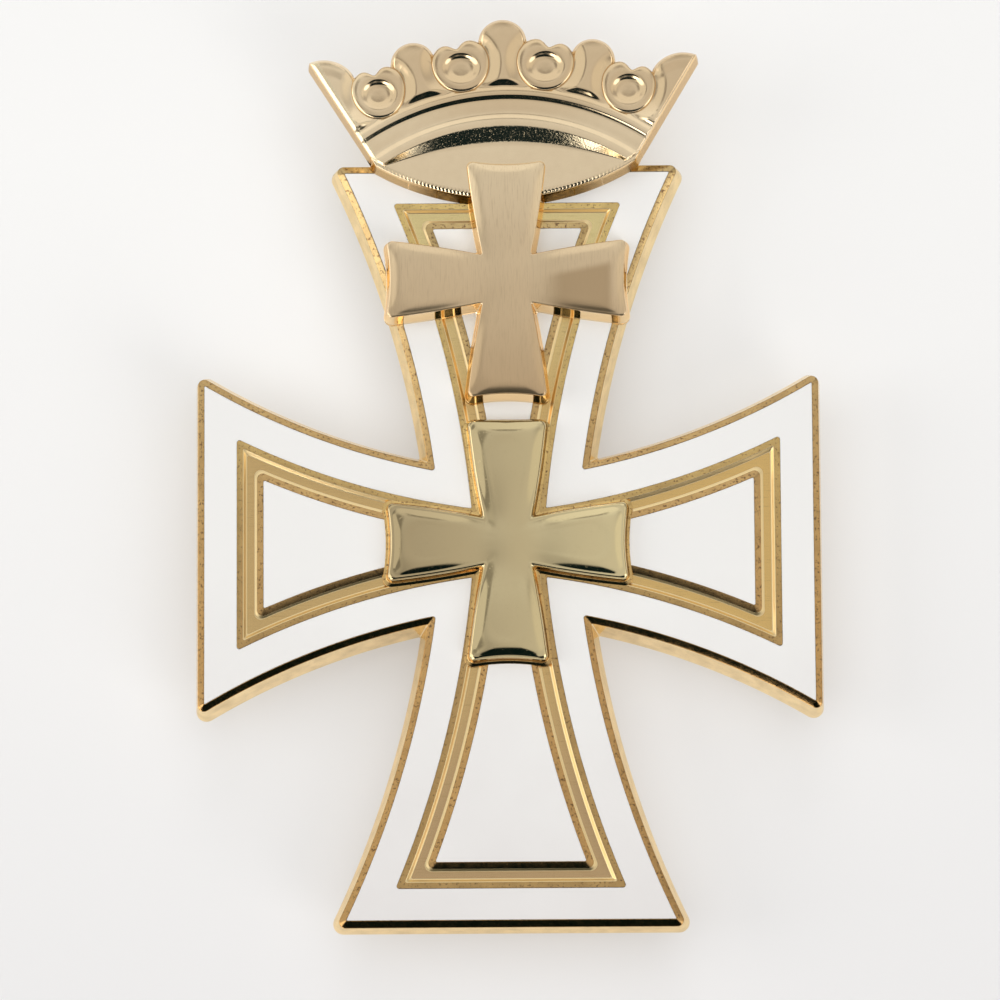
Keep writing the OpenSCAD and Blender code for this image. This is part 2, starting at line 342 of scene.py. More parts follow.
def outline(sides, ends, spots, insets, corner_r, crotch_r, counts):
    """A cross's outline anticlockwise, moved in by its insets, with rounded corners and crotches.
    The centre of a rounding is where its two arcs, moved off by its radius, cross. sides and
    ends hold a quarter's arcs as (centre, radius, 1 if hollow or -1 if swelling), first the side
    arm's and then the upright's. spots are near the crotch and each arm's corner, and insets
    are the sides', and each end's."""
    side = [(np.array(c), r + s * insets[0], s) for c, r, s in sides]
    end = [(np.array(c), r + s * i, s) for (c, r, s), i in zip(ends, insets[1:])]
    crotch = circles_meet(*[v for c, r, s in side for v in (c, r - s * crotch_r)], spots[0])
    corner = [circles_meet(c, r + s * corner_r, c2, r2 + s2 * corner_r, spot)
              for (c, r, s), (c2, r2, s2), spot in zip(side, end, spots[1:])]

    def touch(circle, centre):
        """The point of a circle that a rounding about the given centre touches."""
        c, r, _ = circle
        return c + (centre - c) * r / np.hypot(*(centre - c))

    tip = [c + np.array(way) * (-r if s > 0 else r) for (c, r, s), way in zip(end, ((1, 0), (0, 1)))]
    n_end, n_corner, n_side, n_crotch = counts
    quarter = np.concatenate([
        arc(end[0][0], tip[0], touch(end[0], corner[0]), n_end),
        arc(corner[0], touch(end[0], corner[0]), touch(side[0], corner[0]), n_corner),
        arc(side[0][0], touch(side[0], corner[0]), touch(side[0], crotch), n_side),
        arc(crotch, touch(side[0], crotch), touch(side[1], crotch), n_crotch),
        arc(side[1][0], touch(side[1], crotch), touch(side[1], corner[1]), n_side),
        arc(corner[1], touch(side[1], corner[1]), touch(end[1], corner[1]), n_corner),
        arc(end[1][0], touch(end[1], corner[1]), tip[1], n_end),
        tip[1][None],
    ])
    back = quarter[::-1]
    return np.concatenate([quarter[:-1], (back * (-1, 1))[:-1],
                           (quarter * (-1, -1))[:-1], (back * (1, -1))[:-1]])


def eased(profile, steps=4):
    """A profile whose corners are rounded: each becomes a quadratic curve between the points
    that lie its ease away on either side. The last number of each row is its ease."""
    rows = np.array(profile, float)
    made = []
    for i, row in enumerate(rows):
        if i in (0, len(rows) - 1) or row[-1] == 0:
            made.append(row[:-1])
            continue
        legs = [rows[j][:-1] - row[:-1] for j in (i - 1, i + 1)]
        span = [max(np.hypot(leg[0], leg[3]), 1e-6) for leg in legs]
        start, stop = (row[:-1] + leg * min(row[-1] / s, 0.45) for leg, s in zip(legs, span))
        for t in np.linspace(0, 1, steps + 1):
            made.append(start * (1 - t)**2 + 2 * row[:-1] * t * (1 - t) + stop * t**2)
    return np.array(made)


def ring_mesh(name, rings, finishes, finish_of=None, loop=False):
    """A solid whose skin runs from ring to ring, each the same count of points anticlockwise.
    Its first and last rings are closed with a flat face, or joined to each other in a loop."""
    rows, columns, _ = rings.shape
    if loop:
        rings = np.concatenate([rings, rings[:1]])
        faces = np.array(grid_faces(rows + 1, columns, closed=True)) % (rows * columns)
        faces, rings = faces.tolist(), rings[:-1]
    else:
        last = (rows - 1) * columns
        faces = grid_faces(rows, columns, closed=True)
        faces += [list(range(columns))[::-1], list(range(last, last + columns))]
    piece = new_piece(name, rings.reshape(-1, 3), faces, finishes, finish_of)
    normals = piece.modifiers.new("even_faces", "WEIGHTED_NORMAL")
    normals.keep_sharp = True
    return piece


plate_sides = [(*side_arm_side, 1), (*upright_side, 1)]
plate_ends = [((side_arm_len + far_off, 0), far_off, 1), ((0, upright_len + far_off), far_off, 1)]
# Points near the crotch and near the two corners, and the counts of points on an end, a
# corner, a side and a crotch
plate_spots = [(5.3, 5.4), (side_arm_len, 11.6), (11.8, upright_len)]
plate_counts = (6, 10, 44, 8)


def plate_rings(rows):
    """The plate's outline at each row of a profile, as rings of points with their height."""
    rings = []
    for side, end_x, end_y, height, corner_r, crotch_r in rows:
        flat = outline(plate_sides, plate_ends, plate_spots, (side, end_x, end_y), corner_r,
                       crotch_r, plate_counts)
        rings.append(np.column_stack([flat, np.full(len(flat), height)]))
    return np.array(rings)


# Painted shade: the gilding is darker towards the foot of the cross, between these heights
foot_shade_span = (-12, 16)
worn_through = (0.20, 0.11, 0.05, 1)


def gilt_finish(name, at_foot, at_top, speck_low, **sockets):
    """Thin gilding over brass: its tone drifts from at_foot to at_top, a painted shade darker at the
    foot of the cross, and where a fine noise passes speck_low it is worn to dark specks."""
    finish = new_finish(name, Metallic=1.0, Roughness=0.2, **sockets)
    tree = finish.node_tree
    # Painted shade: darker towards the foot of the cross
    tone = blend(tree, remap(tree, coordinates(tree)["Y"], *foot_shade_span), at_foot, at_top)
    cloud = remap(tree, noise(tree, (0.8, 0.8, 0.8)), 0.35, 0.75, 0, 0.3)
    speck = remap(tree, noise(tree, (5, 5, 5), 4, 0.7), speck_low, speck_low + 0.08)
    tone = blend(tree, maths(tree, "MAXIMUM", cloud, speck), tone, worn_through)
    feed(tree, "Base Color", tone)
    feed(tree, "Roughness", remap(tree, noise(tree, (3, 3, 3)), 0.3, 0.7, 0.10, 0.18))
    emboss(tree, noise(tree, (9, 9, 9), 4, 0.7), 0.35, 0.01)
    return finish


gilt = gilt_finish("gilt_plate", (0.62, 0.41, 0.17, 1), (0.90, 0.67, 0.27, 1), 0.56)
# Painted shade: the rims' gilding is darker than the rest, besides its real worn specks
worn_and_shaded_edge = gilt_finish("worn_and_shaded_edge", (0.60, 0.37, 0.15, 1), (0.60, 0.44, 0.21, 1), 0.54)
# Painted highlight: the plate's walls get a paler copy of the gilding
wall_gilt_painted_pale = gilt_finish("wall_gilt_painted_pale", (1.0, 0.82, 0.54, 1), (1.0, 0.84, 0.56, 1), 0.66,
                        Specular_Tint=(1.0, 0.88, 0.66, 1))
# Painted highlight: the channel's edge lines get a paler, rougher copy of the gilding
line_gilt_painted_pale = new_finish("channel_line_painted_pale", Metallic=1.0, Roughness=0.3, Base_Color=(0.90, 0.70, 0.38, 1))

# The channel's floor is brushed across. Its tone is painted light and shade: a deeper, brighter
# gold to the right, paler at the top and duller at the foot.
brushed = new_finish("brushed_channel", Metallic=1.0, Roughness=0.26)
tree = brushed.node_tree
lines = noise(tree, (0.5, 14, 14), 5, 0.65, 0.1)
place = coordinates(tree)
# Painted light and shade: lighter to the right and at the top, darker at the foot
tone = blend(tree, remap(tree, place["X"], -12, 16), (0.74, 0.52, 0.235, 1), (0.84, 0.57, 0.22, 1))
tone = blend(tree, remap(tree, place["Y"], 4, 18), tone, (0.88, 0.73, 0.36, 1))
tone = blend(tree, remap(tree, place["Y"], -12, -24), tone, (0.63, 0.44, 0.235, 1))
feed(tree, "Base Color", blend(tree, remap(tree, lines, 0.42, 0.25), tone, (0.50, 0.34, 0.14, 1)))
emboss(tree, lines, 0.6, 0.012)

rows = eased(plate_profile)
rings = plate_rings(rows)
# Each strip between two rows has its finish: the channel's floor is brushed, the outermost and
# the innermost rim are worn and painted darker as shade, the wall is painted pale as a highlight,
# and narrow lines at the channel's edges are rougher and painted paler as a highlight. Their
# limits are insets, and the outermost rim's also a height.
rim_from, rim_above, wall_up_to, inner_rim_from = -0.48, -0.25, -0.44, 3.75
lines_from, lines_up_to = 2.70, 3.85
low_row, high_row = rows[:-1], rows[1:]
on_floor = (np.abs(low_row[:, 3] + channel_d) < 1e-6) & (np.abs(high_row[:, 3] + channel_d) < 1e-6)
on_edge = (low_row[:, 0] >= rim_from) & (high_row[:, 0] <= 0) & (high_row[:, 3] > rim_above)
on_edge |= low_row[:, 0] > inner_rim_from
on_wall = (high_row[:, 0] <= wall_up_to) & ~on_edge
on_line = (low_row[:, 0] >= lines_from) & (high_row[:, 0] <= lines_up_to) & ~on_floor
finish_of = np.zeros((len(rows) - 1, rings.shape[1]), int)
for number, strip in enumerate((on_floor, on_edge, on_wall, on_line), 1):
    finish_of[strip] = number
plate = ring_mesh("gilt_cross_plate", rings, [gilt, brushed, worn_and_shaded_edge, wall_gilt_painted_pale, line_gilt_painted_pale],
                  np.concatenate([finish_of.ravel(), [3, 0]]))
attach(plate, "root")
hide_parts("base_cross")


# The enamel. White hard enamel, fired in the plate's two cells and ground flush with the
# rims, so that only a hair line of shadow parts it from the metal.
hair_line = 0.014
enamel_t = 0.68
edge_fall = 0.035
enamel_white, enamel_shaded_foot_white = (0.895, 0.885, 0.865, 1), (0.80, 0.775, 0.76, 1)
# Painted shade: it is greyer towards the foot, over heights that a slow noise moves up and down
enamel_shade_fade, fade_shift = (-34, -8), 4
enamel = new_finish("white_enamel", Roughness=0.12, IOR=1.5)
tree = enamel.node_tree
shift = remap(tree, noise(tree, (0.15, 0.15, 0.15)), 0.3, 0.7, -fade_shift, fade_shift)
whiter = remap(tree, maths(tree, "ADD", coordinates(tree)["Y"], shift), *enamel_shade_fade)
feed(tree, "Base Color", blend(tree, whiter, enamel_shaded_foot_white, enamel_white))
emboss(tree, noise(tree, (0.35, 0.35, 0.35), 2), 0.1, 0.03)
rim_side = (hair_line,) * 3
channel_side = [inset - hair_line for inset in outer_cell_end]
outer_profile = [
    (*rim_side, -enamel_t, 0.05, 0.20, 0),
    (*rim_side, 0, 0.05, 0.20, edge_fall),
    (*channel_side, 0, 0.20, 0.08, edge_fall),
    (*channel_side, -enamel_t, 0.20, 0.08, 0),
]
outer_enamel = ring_mesh("outer_white_enamel", plate_rings(eased(outer_profile)), [enamel], loop=True)
cell_side = [inset + hair_line for inset in inner_cell_start]
inner_profile = [
    (*cell_side, -enamel_t, 0.10, 0.10, 0),
    (*cell_side, 0, 0.10, 0.10, edge_fall),
    (*(inset + 0.20 for inset in inner_cell_start), 0, 0.08, 0.20, 0),
]
inner_enamel = ring_mesh("inner_white_enamel", plate_rings(eased(inner_profile)), [enamel])
for piece, node in ((outer_enamel, "outer_enamel"), (inner_enamel, "inner_enamel")):
    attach(piece, "root")
    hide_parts(node)


# The two small crosses. Cast and gilded with a flat face and a soft shoulder: the one in
# the middle is polished, the upper one is satin brushed and sits over the crown's foot.
small_span = 8.72
small_root, small_end_half = 1.78, 2.86
small_side_r, small_end_r = 68.0, 14.75
small_counts = (12, 6, 24, 4)
# The walls reach down into the plate, to this height, and the fillet lies below fillet_top
wall_foot, fillet_top = -0.27, 0.09
# The shoulder is lower by a share of its height near each crotch, out to about a radius
dip_share, dip_r = 0.75, 2.0
dome_r = 2.5


def arc_centre(start, stop, radius, left):
    """Centre of the circle of a radius through two points, on the left of the way or the right:
    off the chord's middle by the root of the radius squared less half the chord squared."""
    start, stop = np.array(start, float), np.array(stop, float)
    chord = stop - start
    length = np.hypot(*chord)
    normal = np.array([-chord[1], chord[0]]) / length * (1 if left else -1)
    return (start + stop) / 2 + normal * math.sqrt(radius**2 - (length / 2)**2)


crotch_point, corner_point = (small_root, small_root), (small_end_half, small_span)
upright_swell = arc_centre(crotch_point, corner_point, small_side_r, left=True)
end_hollow = (0.0, small_span + math.sqrt(small_end_r**2 - small_end_half**2))
small_sides = [(upright_swell[::-1], small_side_r, -1), (upright_swell, small_side_r, -1)]
small_ends = [(end_hollow[::-1], small_end_r, 1), (end_hollow, small_end_r, 1)]
small_spots = [crotch_point, corner_point[::-1], corner_point]


def smooth(value, low, high):
    """0 below low and 1 above high, and between them t^2 (3 - 2 t) of the share t of the way."""
    t = np.clip((value - low) / (high - low), 0, 1)
    return t * t * (3 - 2 * t)


def small_cross(name, centre, fillet, flare, wall_h, edge, shoulder, dome, top_end, finishes):
    """A small cross about a centre on the plate. A fillet of solder runs round its foot. Its
    wall spreads by flare towards the plate and ends in a steep edge (width, height). Then its
    shoulder (width, height) rises as height times 1 - (1 - share)^2, less near the crotches.
    The face falls off across by dome times x^2 / (1 + (x / dome_r)^2), and the top arm's end moves
    up by top_end (corners, middle). The first finish is the wall's and the second the face's."""
    edge_w, edge_h = edge
    shoulder_w, shoulder_h = shoulder
    share = np.linspace(0, 1, 14)[:, None]
    # Rows as (inset, height, corner radius, crotch radius)
    wall = [(-flare - fillet, wall_foot, 0.6, 0.15), (-flare - fillet, 0.02, 0.6, 0.15),
            (-flare, 0.10, 0.55, 0.14), (-flare * 0.5, wall_h * 0.5, 0.48, 0.13), (0.0, wall_h, 0.36, 0.12)]
    rise = share * (shoulder_w, 0, 0.8, 0.3) + (edge_w, wall_h + edge_h, 0.36, 0.12)
    rise[:, 1:2] += 1 - (1 - share)**2
    inner = edge_w + shoulder_w
    lip = [(inner + 0.09, rise[-1, 1] + 0.01, 1.2, 0.40), (inner + 0.27, rise[-1, 1] - 0.03, 1.2, 0.45)]
    eases = (0, 0.02, 0.06, 0, 0.04)
    profile = [(*row, ease) for row, ease in zip(wall, eases)] + [(*row, 0) for row in [*rise, *lip]]
    rows = eased([(p[0], p[0], p[0], *p[1:]) for p in profile])
    rings = []
    for side, end_x, end_y, height, corner_r, crotch_r in rows:
        flat = outline(small_sides, small_ends, small_spots, (side, end_x, end_y), corner_r,
                       crotch_r, small_counts)
        rings.append(np.column_stack([flat, np.full(len(flat), height)]))
    for part in np.linspace(0.95, 0.01, 22):
        rings.append(rings[len(rows) - 1] * (part, part, 1))
    rings = np.array(rings)
    # The fillet stops short at the top arm's end, where the wall stands straight
    foot_rows = np.flatnonzero(rows[:, 3] < fillet_top)
    at_top = rings[0, :, 1] > small_span * 0.9
    rings[np.ix_(foot_rows, at_top, [1])] = rings[foot_rows[-1] + 1, at_top, 1][None, :, None]
    base = wall_h + edge_h
    rise = np.clip(rings[..., 2] - base, 0, None)
    x, y = rings[..., 0], rings[..., 1]
    dips = sum(np.exp(-((x - i * small_root)**2 + (y - j * small_root)**2) / dip_r**2)
               for i in (-1, 1) for j in (-1, 1))
    lift = shoulder_h * (1 - dip_share * dips)
    swell = dome * x**2 / (1 + (x / dome_r)**2)
    rings[..., 2] = np.minimum(rings[..., 2], base) + rise * lift - swell * np.clip(rise * 3, 0, 1)
    middle_share = 1 - np.clip(x / small_end_half, -1, 1)**2
    rings[..., 1] += smooth(y, 5.0, 8.2) * (top_end[0] + (top_end[1] - top_end[0]) * middle_share)
    finish_of = np.ones((len(rings) - 1, rings.shape[1]), int)
    edge_rows = 2
    finish_of[:len(rows) - len(share) - len(lip) - edge_rows] = 0
    return ring_mesh(name, rings + (*centre, 0), finishes, [*finish_of.ravel(), 0, 1])


# The centre cross: greenish gold with a few fine pits, and a painted light that makes it lighter to the
# right
polished = new_finish("polished_gilt", Metallic=1.0, Roughness=0.1)
tree = polished.node_tree
painted_light_to_right = remap(tree, coordinates(tree)["X"], -7, 7)
feed(tree, "Base Color", blend(tree, painted_light_to_right, (0.55, 0.44, 0.255, 1), (0.80, 0.68, 0.40, 1)))
pits = remap(tree, noise(tree, (7, 7, 7), 2, 0.4), 0.66, 0.78)
feed(tree, "Roughness", remap(tree, noise(tree, (2, 2, 2)), 0.3, 0.7, 0.07, 0.14))
emboss(tree, pits, 0.5, 0.01, invert=True)
centre_cross = small_cross("polished_centre_cross", (-0.10, -0.02), fillet=0.22, flare=0.12, wall_h=0.70,
                           edge=(0.14, 0.23), shoulder=(0.84, 0.27), dome=0.018, top_end=(0.14, 0.41),
                           finishes=[gilt, polished])
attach(centre_cross, "root")
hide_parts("centre_cross")

# The upper cross: its walls get a paler, brighter copy of the gilding as a painted highlight, and
# its face is satin, with strokes of the brush along its upright. Its face is painted darker towards
# its foot as shade, and darker on the right arm, below a line that rises to the right, as a
# painted dark reflection.
# Painted highlight: the walls' gilding is a paler, brighter copy
wall_gilt_painted_bright = new_finish("wall_gilt_painted_bright", Metallic=1.0, Roughness=0.1, Base_Color=(1.0, 0.83, 0.58, 1),
                         Specular_Tint=(1.0, 0.80, 0.55, 1))
dark_reflection_top, dark_reflection_rise = (13.2, 13.9), 0.2
dark_reflection_left, dark_reflection_right = (2.2, 4.2), (7.1, 7.8)
satin = new_finish("satin_gilt", Metallic=1.0, Roughness=0.28)
tree = satin.node_tree
strokes = noise(tree, (12, 0.8, 12), 5, 0.6)
place = coordinates(tree)
# Painted shade: darker towards the foot of the cross
tone = blend(tree, remap(tree, place["Y"], 6, 21), (0.67, 0.485, 0.29, 1), (0.91, 0.735, 0.495, 1))
# Painted dark reflection on the right arm, below a line that rises to the right
above = maths(tree, "SUBTRACT", place["Y"], maths(tree, "MULTIPLY", place["X"], dark_reflection_rise))
below_line = maths(tree, "SUBTRACT", 1, eased_share(tree, above, *dark_reflection_top))
before_end = maths(tree, "SUBTRACT", 1, eased_share(tree, place["X"], *dark_reflection_right))
dark_reflection = maths(tree, "MULTIPLY", below_line, eased_share(tree, place["X"], *dark_reflection_left))
tone = blend(tree, maths(tree, "MULTIPLY", dark_reflection, before_end), tone, (0.58, 0.42, 0.25, 1))
in_stroke = remap(tree, strokes, 0.5, 0.3, 0, 0.35)
feed(tree, "Base Color", blend(tree, in_stroke, tone, (0.55, 0.40, 0.24, 1)))
emboss(tree, strokes, 0.3, 0.008)
upper_cross = small_cross("satin_upper_cross", (-0.05, 19.04), fillet=0.06, flare=0.22, wall_h=1.69,
                          edge=(0.06, 0.08), shoulder=(0.80, 0.20), dome=0.006, top_end=(0.0, 0.0),
                          finishes=[wall_gilt_painted_bright, satin])
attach(upper_cross, "root")
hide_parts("upper_cross")


# The crown. Struck in relief and gilded: a plain lens-shaped foot, a circlet of two beads,
# and above it four dished pearls between three lobes, with a leaf at either end. It is
# soldered over the top arm, turned a little by hand.
crown_hub_y = 25.0
crown_turn = math.radians(0.93)
crown_shift = -0.06
fan_width, fan_spread, fan_foot_y = 9.15, 0.6145, 27.3
# Arcs about the middle line as (height of centre, radius)
foot_arc = (43.25, 18.17)
lens_low_arc = (42.75, 17.44)
lens_top_arc = (4.4, 24.8)
slope_top_arc = (14.4, 15.9)
line_arc = (14.0, 18.4)
# The circlet's beads (width, then how high each swells), and the line between them
bead_w, low_bead_h, high_bead_h = 0.70, 0.06, 0.22
line_w = 0.28
lobes_foot_r = line_arc[1] + bead_w
lens_z, band_z, bead_z = 1.40, 1.87, 2.00
foot_wall_z = 1.26
# Its walls stand out by a flare at their foot, and below its edges runs a bevel (width, drop)
foot_flare, left_flare, right_flare, top_flare = 0.36, 0.22, 0.30, 0.10
left_bevel, right_bevel = (0.24, 0.15), (0.12, 0.14)
top_bevel_w, top_bevel_h = 0.26, 0.30
top_round_w, top_round_h = 1.0, 0.06
# The foot's bevel is reeded. Both lose a share of their height towards the crown's ends
reed_pitch, reed_h = 0.27, 0.06
reeds_fade, reeds_loss = (6.5, 9.0), 0.75
bevel_fade, bevel_loss = (4.8, 7.5), 0.55
# Circles at the ends of lobes and leaves, as [x, y, radius], and the feet of the lobes
lobes = [(0.0, 36.4, 1.76), (6.5, 34.95, 1.64), (-6.5, 34.95, 1.64)]
leaves = [(13.05, 32.85, 2.6), (-13.05, 32.85, 2.6)]
lobe_feet = [(0.0, 33.2), (5.75, 32.55), (-5.75, 32.55)]
lobe_h, lobe_foot_half_w, lobe_foot_slope_w = 0.27, 1.3, 0.55
# A pearl's middle and how much wider it is across, as [x, y, width]
inner_pearl, outer_pearl = (3.05, 34.62, 1.07), (9.05, 32.80, 1.0)
pearl_r, pearl_notch = 1.83, 0.60
# The leaves rise along a circle about [x, y], from a first radius to a second
leaf_ridge = (13.1, 32.1, 2.1, 2.8)


def pearl_reach(angle):
    """How far a right-hand pearl's outline lies from its middle at an angle: a circle with a
    swell on either side of the top and a notch between them, each a bell curve of the angle."""
    def bell(at, spread):
        return np.exp(-(((np.degrees(angle) - at + 180) % 360 - 180) / spread)**2)
    return pearl_r + 0.30 * bell(36, 42) + 0.40 * bell(126, 42) - pearl_notch * bell(78, 16)


def half_width(y):
    """Half the crown's width at a height: its straight sides spread by a fixed slope."""
    return fan_width + fan_spread * (y - fan_foot_y)


def along_ray(s, x, y, radius, way=1):
    """Height where the fan's ray s, on which x = s half_width(y), leaves a circle, or enters it
    where way is -1: a root of a quadratic equation in y. A ray that misses the circle gives
    minus infinity."""
    base = s * (fan_width - fan_spread * fan_foot_y) - x
    a = s**2 * fan_spread**2 + 1
    b = 2 * (s * fan_spread * base - y)
    c = base**2 + y**2 - radius**2
    inside = b**2 - 4 * a * c
    return np.where(inside > 0, (-b + way * np.sqrt(np.maximum(inside, 0))) / (2 * a), -np.inf)


def relief(x, y):
    """Height of the crown's face at points of it. It goes from terrace to terrace by the share
    of the way between two arcs, and a bead adds its height times share times 1 - share. The
    lobes and leaves add their height times the eased shares of how far a point is from the
    pearls and from the circlet."""
    lens, slope, line = [np.hypot(x, y - height) - radius
                         for height, radius in (lens_top_arc, slope_top_arc, line_arc)]
    # The grained slope from the lens to the circlet, which runs out at its ends
    share = np.clip(lens, 0, None) / (np.clip(lens, 0, None) + np.clip(-slope, 1e-4, None))
    z = lens_z + (band_z + 0.05 - lens_z) * np.where(lens > 0, np.where(slope < 0, share, 1), 0)
    # The circlet's lower bead falls to its band, and above the line stands its upper bead
    bead = np.clip(slope / bead_w, 0, 1)
    z += low_bead_h * bead * (1 - bead) - 0.07 * smooth(slope, bead_w * 0.7, bead_w + 0.28)
    z += 0.02 * smooth(slope, bead_w + 0.28, bead_w + 0.9)
    z += (bead_z - band_z) * np.clip(line / line_w + 0.5, 0, 1)
    bead = np.clip(line / bead_w, 0, 1)
    z += high_bead_h * bead * (1 - bead) - 0.05 * smooth(line, bead_w * 0.8, bead_w + 0.2)
    # How far each point is outside the pearls
    clear = np.full(x.shape, 9.0)
    for pearl_x, pearl_y, wide in (inner_pearl, outer_pearl):
        out, rise = (np.abs(x) - pearl_x) / wide, y - pearl_y
        clear = np.minimum(clear, np.hypot(out, rise) - pearl_reach(np.arctan2(rise, out)))
    # The lobes' feet arch a little above the circlet, and the leaves are lower inside a ridge
    lobe_foot = 0 * x
    for foot_x, foot_y in lobe_feet:
        lobe_foot = np.maximum(lobe_foot, np.clip(1 - ((x - foot_x) / lobe_foot_half_w)**2, 0, 1))
    arch = smooth(line - bead_w - 0.10 * lobe_foot, 0, lobe_foot_slope_w)
    raised = lobe_h * smooth(clear, -0.1, 0.9) * arch
    ridge_x, ridge_y, low_r, high_r = leaf_ridge
    off_ridge = np.hypot(np.abs(x) - ridge_x, y - ridge_y)
    raised *= np.where(np.abs(x) > outer_pearl[0], 0.72 + 0.28 * smooth(off_ridge, low_r, high_r), 1)
    return z + raised - 0.5 * smooth(-clear, 0.1, 0.35)


def on_crown(x, y, z):
    """Points of the upright crown, turned about its hub and set on the plate."""
    c, s = math.cos(crown_turn), math.sin(crown_turn)
    up = y - crown_hub_y
    return np.stack([x * c - up * s + crown_shift, x * s + up * c + crown_hub_y, z], -1)


# The rays of the fan, closer at both sides, where the bevels are
side_steps = np.linspace(0, 0.045, 15)[:-1]
s = np.concatenate([-1 + side_steps, np.linspace(-0.955, 0.955, 451), 1 - side_steps[::-1]])
foot_y = along_ray(s, 0, *foot_arc, way=-1)
top_y = np.max([along_ray(s, 0, line_arc[0], 21.2)]
               + [along_ray(s, *circle) for circle in lobes + leaves], axis=0)
# The rows run from arc to arc, as (height on each ray, count of rows up to the next)
anchors = [(foot_y, 6), (along_ray(s, 0, *lens_low_arc, way=-1), 12),
           (along_ray(s, 0, *lens_top_arc), 12), (along_ray(s, 0, *slope_top_arc), 14),
           (along_ray(s, 0, slope_top_arc[0], slope_top_arc[1] + bead_w + 0.2), 10),
           (along_ray(s, 0, line_arc[0], line_arc[1] - line_w / 2), 5),
           (along_ray(s, 0, line_arc[0], line_arc[1] + line_w / 2), 10),
           (along_ray(s, 0, line_arc[0], lobes_foot_r), 8),
           (along_ray(s, 0, line_arc[0], lobes_foot_r + 0.35), 60),
           (top_y - top_bevel_w * 1.2, 12), (top_y, 0)]
levels = [np.maximum(anchors[0][0], foot_y)]
for level, _ in anchors[1:]:
    levels.append(np.minimum(np.maximum(level, levels[-1] + 0.004), top_y))
rows_y = []
for low, high, (_, count) in zip(levels, levels[1:], anchors):
    t = np.arange(count)[:, None] / count
    rows_y.append(low + (high - low) * t)
y = np.concatenate([*rows_y, levels[-1][None]])
x = s * half_width(y)
z = relief(x, y)
# The face falls away where it meets its outline, in a round at the top and a bevel at the sides
top_border = np.column_stack([s * half_width(top_y), top_y])
close = y > top_y - 1.2
places = np.stack([x[close], y[close]], -1)
chord = top_border[1:] - top_border[:-1]
share = np.clip(((places[:, None] - top_border[:-1]) * chord).sum(-1)
                / np.maximum((chord**2).sum(-1), 1e-12), 0, 1)
nearest = places[:, None] - top_border[:-1] - share[..., None] * chord
top_near = np.full(x.shape, 9.0)
top_near[close] = np.hypot(nearest[..., 0], nearest[..., 1]).min(1)
top_fall = (top_bevel_h * (1 - np.clip(top_near / top_bevel_w, 0, 1))**1.5
            + top_round_h * (1 - np.clip(top_near / top_round_w, 0, 1))**2)
side_near = (half_width(y) - np.abs(x)) / math.hypot(1, fan_spread)
bevel_w, bevel_h = [np.where(x < 0, *pair) for pair in zip(left_bevel, right_bevel)]
side_fall = bevel_h * (1 - np.clip(side_near / bevel_w, 0, 1))
z = z - np.maximum(top_fall, side_fall)
# The reeded bevel along the foot
bevel = np.clip((levels[1] - y) / np.maximum(levels[1] - foot_y, 1e-6), 0, 1)
reed = reed_h * (np.abs(np.cos(np.pi * x / reed_pitch)) - 0.5)
reed *= 1 - reeds_loss * smooth(np.abs(x), *reeds_fade)
bevel_drop = (lens_z - foot_wall_z) * (1 - bevel_loss * smooth(np.abs(x), *bevel_fade))
foot_face = lens_z - bevel_drop * bevel + reed * np.sin(np.pi * bevel)
z = np.where(bevel > 0, np.minimum(z, foot_face), z)

# Its face is pale champagne gold, a little deeper above the foot but for the far left. The
# slope and the bevelled left side are grained.
champagne = new_finish("champagne_gilt", Metallic=1.0, Roughness=0.13)
tree = champagne.node_tree
place = coordinates(tree)
upper = maths(tree, "MULTIPLY", eased_share(tree, place["Y"], 25.0, 27.5),
              eased_share(tree, place["X"], -11.5, -9.0))
cloud = remap(tree, noise(tree, (1.2, 1.2, 1.2)), 0.3, 0.7, 0, 0.12)
tone = blend(tree, upper, (0.94, 0.765, 0.52, 1), (0.80, 0.615, 0.39, 1))
feed(tree, "Base Color", blend(tree, cloud, tone, (0.70, 0.52, 0.32, 1)))
feed(tree, "Roughness", remap(tree, noise(tree, (2.5, 2.5, 2.5)), 0.3, 0.7, 0.11, 0.18))
emboss(tree, noise(tree, (6, 6, 6), 4, 0.6), 0.12, 0.01)
struck = new_finish("struck_grain", Metallic=1.0, Roughness=0.14, Base_Color=(0.95, 0.80, 0.55, 1))
tree = struck.node_tree
sparse = remap(tree, noise(tree, (9, 9, 9), 3, 0.6), 0.61, 0.67)
feed(tree, "Roughness", remap(tree, sparse, 0, 1, 0.14, 0.60))
emboss(tree, noise(tree, (6, 6, 6), 3, 0.6), 0.8, 0.03)
# Painted shade: the foot's wall is dark, most of all beside the upper cross, with a cloudy tone
foot_wall_shade = new_finish("foot_wall_painted_shade", Metallic=1.0, Roughness=0.24,
                     Specular_Tint=(1.0, 0.80, 0.55, 1))
tree = foot_wall_shade.node_tree
beyond_shade = eased_share(tree, maths(tree, "ABSOLUTE", coordinates(tree)["X"], 0), 4.8, 7.6)
cloud = remap(tree, noise(tree, (3, 3, 3)), 0.35, 0.65)
shade_colours = blend(tree, cloud, (0.12, 0.06, 0.018, 1), (0.42, 0.25, 0.08, 1))
feed(tree, "Base Color", blend(tree, beyond_shade, shade_colours, (0.95, 0.76, 0.50, 1)))

